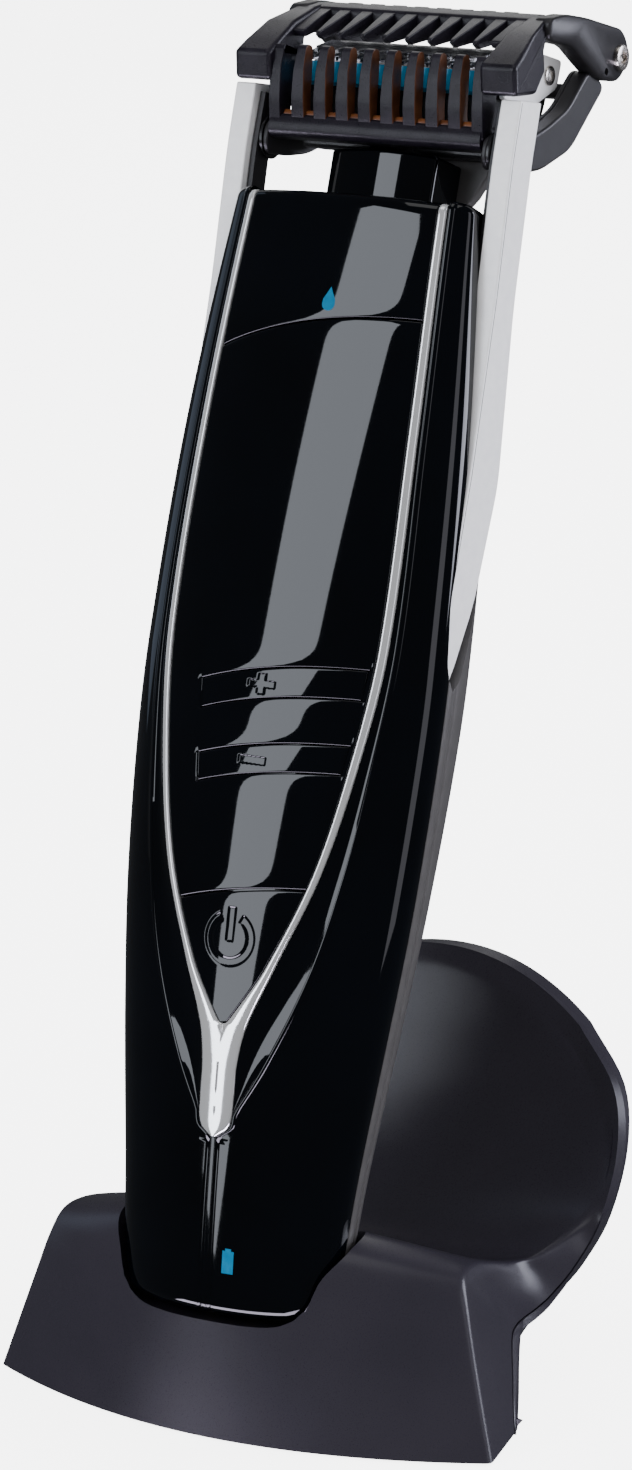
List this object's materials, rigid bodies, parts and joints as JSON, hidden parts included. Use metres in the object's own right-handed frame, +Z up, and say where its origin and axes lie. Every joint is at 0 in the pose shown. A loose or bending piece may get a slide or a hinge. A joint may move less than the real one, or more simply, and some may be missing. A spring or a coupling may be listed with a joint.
{
  "type": "beard trimmer on charging stand",
  "caption": "Cordless beard trimmer with a motor-raised comb on two side arms, standing in a dished charging stand.",
  "frame": {"origin": "on the table, midway between the front corners of the stand's foot, on the foot pad's underside", "axes": "+Z up; the trimmer's face looks towards -Y; +X is to the viewer's right when facing it"},
  "size_m": [0.082, 0.086, 0.1967],
  "materials": {
    "gloss_black": "high gloss",
    "matte_charcoal": "fine matte grain",
    "satin_stand_black": "satin moulded",
    "chrome": "bright plated",
    "satin_silver": "satin silver",
    "smoked_comb": "smoked translucent plastic",
    "ground_steel": "ground",
    "blade_blue": "satin",
    "cyan_print": "printed lens",
    "housing_black": "satin",
    "black_rubber": "matte",
    "board_green": "solder mask",
    "brass": "polished",
    "inner_grey": "moulded",
    "battery_wrap": "shrink wrap"
  },
  "bodies": {
    "stand": {"stand_front_shell": "satin_stand_black", "stand_rear_shell": "satin_stand_black", "stand_base_plate": "satin_stand_black", "stand_foot_pad": "black_rubber", "stand_ballast": "ground_steel", "charge_board": "board_green", "dc_inlet_socket": "housing_black", "charge_pin_left": "brass", "charge_pin_right": "brass"},
    "handle": {"front_shell": "gloss_black", "rear_shell": "matte_charcoal", "face_panel": "gloss_black", "brow_panel": "gloss_black", "chrome_trim": "chrome", "charge_lamp": "cyan_print", "case_screw_lower": "ground_steel", "case_screw_upper": "ground_steel", "battery_cell": "battery_wrap", "main_board": "board_green", "chassis": "inner_grey", "charge_contact_left": "brass", "charge_contact_right": "brass", "lift_motor": "ground_steel", "cutter_motor": "ground_steel", "neck": "gloss_black", "neck_rear_cover": "matte_charcoal", "head_housing": "housing_black", "side_plate_left": "satin_silver", "side_plate_right": "satin_silver", "side_plate_screw_left": "ground_steel", "side_plate_screw_right": "ground_steel", "blade_carrier": "blade_blue", "fixed_blade": "ground_steel"},
    "power_key": {"power_button": "gloss_black"},
    "plus_key": {"plus_button": "gloss_black"},
    "minus_key": {"minus_button": "gloss_black"},
    "screw": {"lead_screw": "brass"},
    "shaft": {"drive_shaft": "ground_steel"},
    "blade": {"moving_blade": "ground_steel"},
    "carriage": {"arm_left": "satin_silver", "arm_right": "satin_silver", "arm_liner_left": "matte_charcoal", "arm_liner_right": "matte_charcoal", "lift_bridge": "inner_grey"},
    "cradle": {"comb_guide": "smoked_comb", "cheek_left": "matte_charcoal", "cheek_right": "matte_charcoal", "pivot_disc_left": "housing_black", "pivot_disc_right": "housing_black", "lever_left": "matte_charcoal", "lever_right": "matte_charcoal", "knuckle_screw_left": "ground_steel", "knuckle_screw_right": "ground_steel", "cradle_tie": "matte_charcoal"}
  },
  "joints": [
    {"name": "lift_out", "type": "slide", "parent": "stand", "child": "handle", "axis": [0, 0.0958, 0.9954], "range_m": [0, 0.06]},
    {"name": "power_press", "type": "slide", "parent": "handle", "child": "power_key", "axis": [0, 0.9817, -0.1903], "range_m": [0, 0.0005], "stiffness_N_per_m": 400},
    {"name": "plus_press", "type": "slide", "parent": "handle", "child": "plus_key", "axis": [0, 0.9653, -0.2611], "range_m": [0, 0.0005], "stiffness_N_per_m": 400},
    {"name": "minus_press", "type": "slide", "parent": "handle", "child": "minus_key", "axis": [0, 0.9703, -0.2419], "range_m": [0, 0.0005], "stiffness_N_per_m": 400},
    {"name": "comb_lift", "type": "slide", "parent": "handle", "child": "carriage", "axis": [0, 0.3173, 0.9483], "range_m": [0, 0.0046]},
    {"name": "screw_turn", "type": "hinge", "parent": "handle", "child": "screw", "pos_m": [0, 0.0289, 0.117], "axis": [0, 0.3173, 0.9483], "range_deg": [0, 830]},
    {"name": "shaft_spin", "type": "hinge", "parent": "handle", "child": "shaft", "pos_m": [0, 0.04085, 0.16784], "axis": [0, 0.3173, 0.9483], "continuous": true},
    {"name": "blade_stroke", "type": "slide", "parent": "handle", "child": "blade", "axis": [1, 0, 0], "range_m": [-0.0008, 0.0008]},
    {"name": "comb_float", "type": "hinge", "parent": "carriage", "child": "cradle", "pos_m": [0, 0.0408, 0.1784], "axis": [1, 0, 0], "range_deg": [0, 6], "stiffness_Nm_per_rad": 0.08}
  ],
  "couplings": [
    {"joint": "screw_turn", "follows": "comb_lift", "rad_per_m": 3141.6}
  ]
}
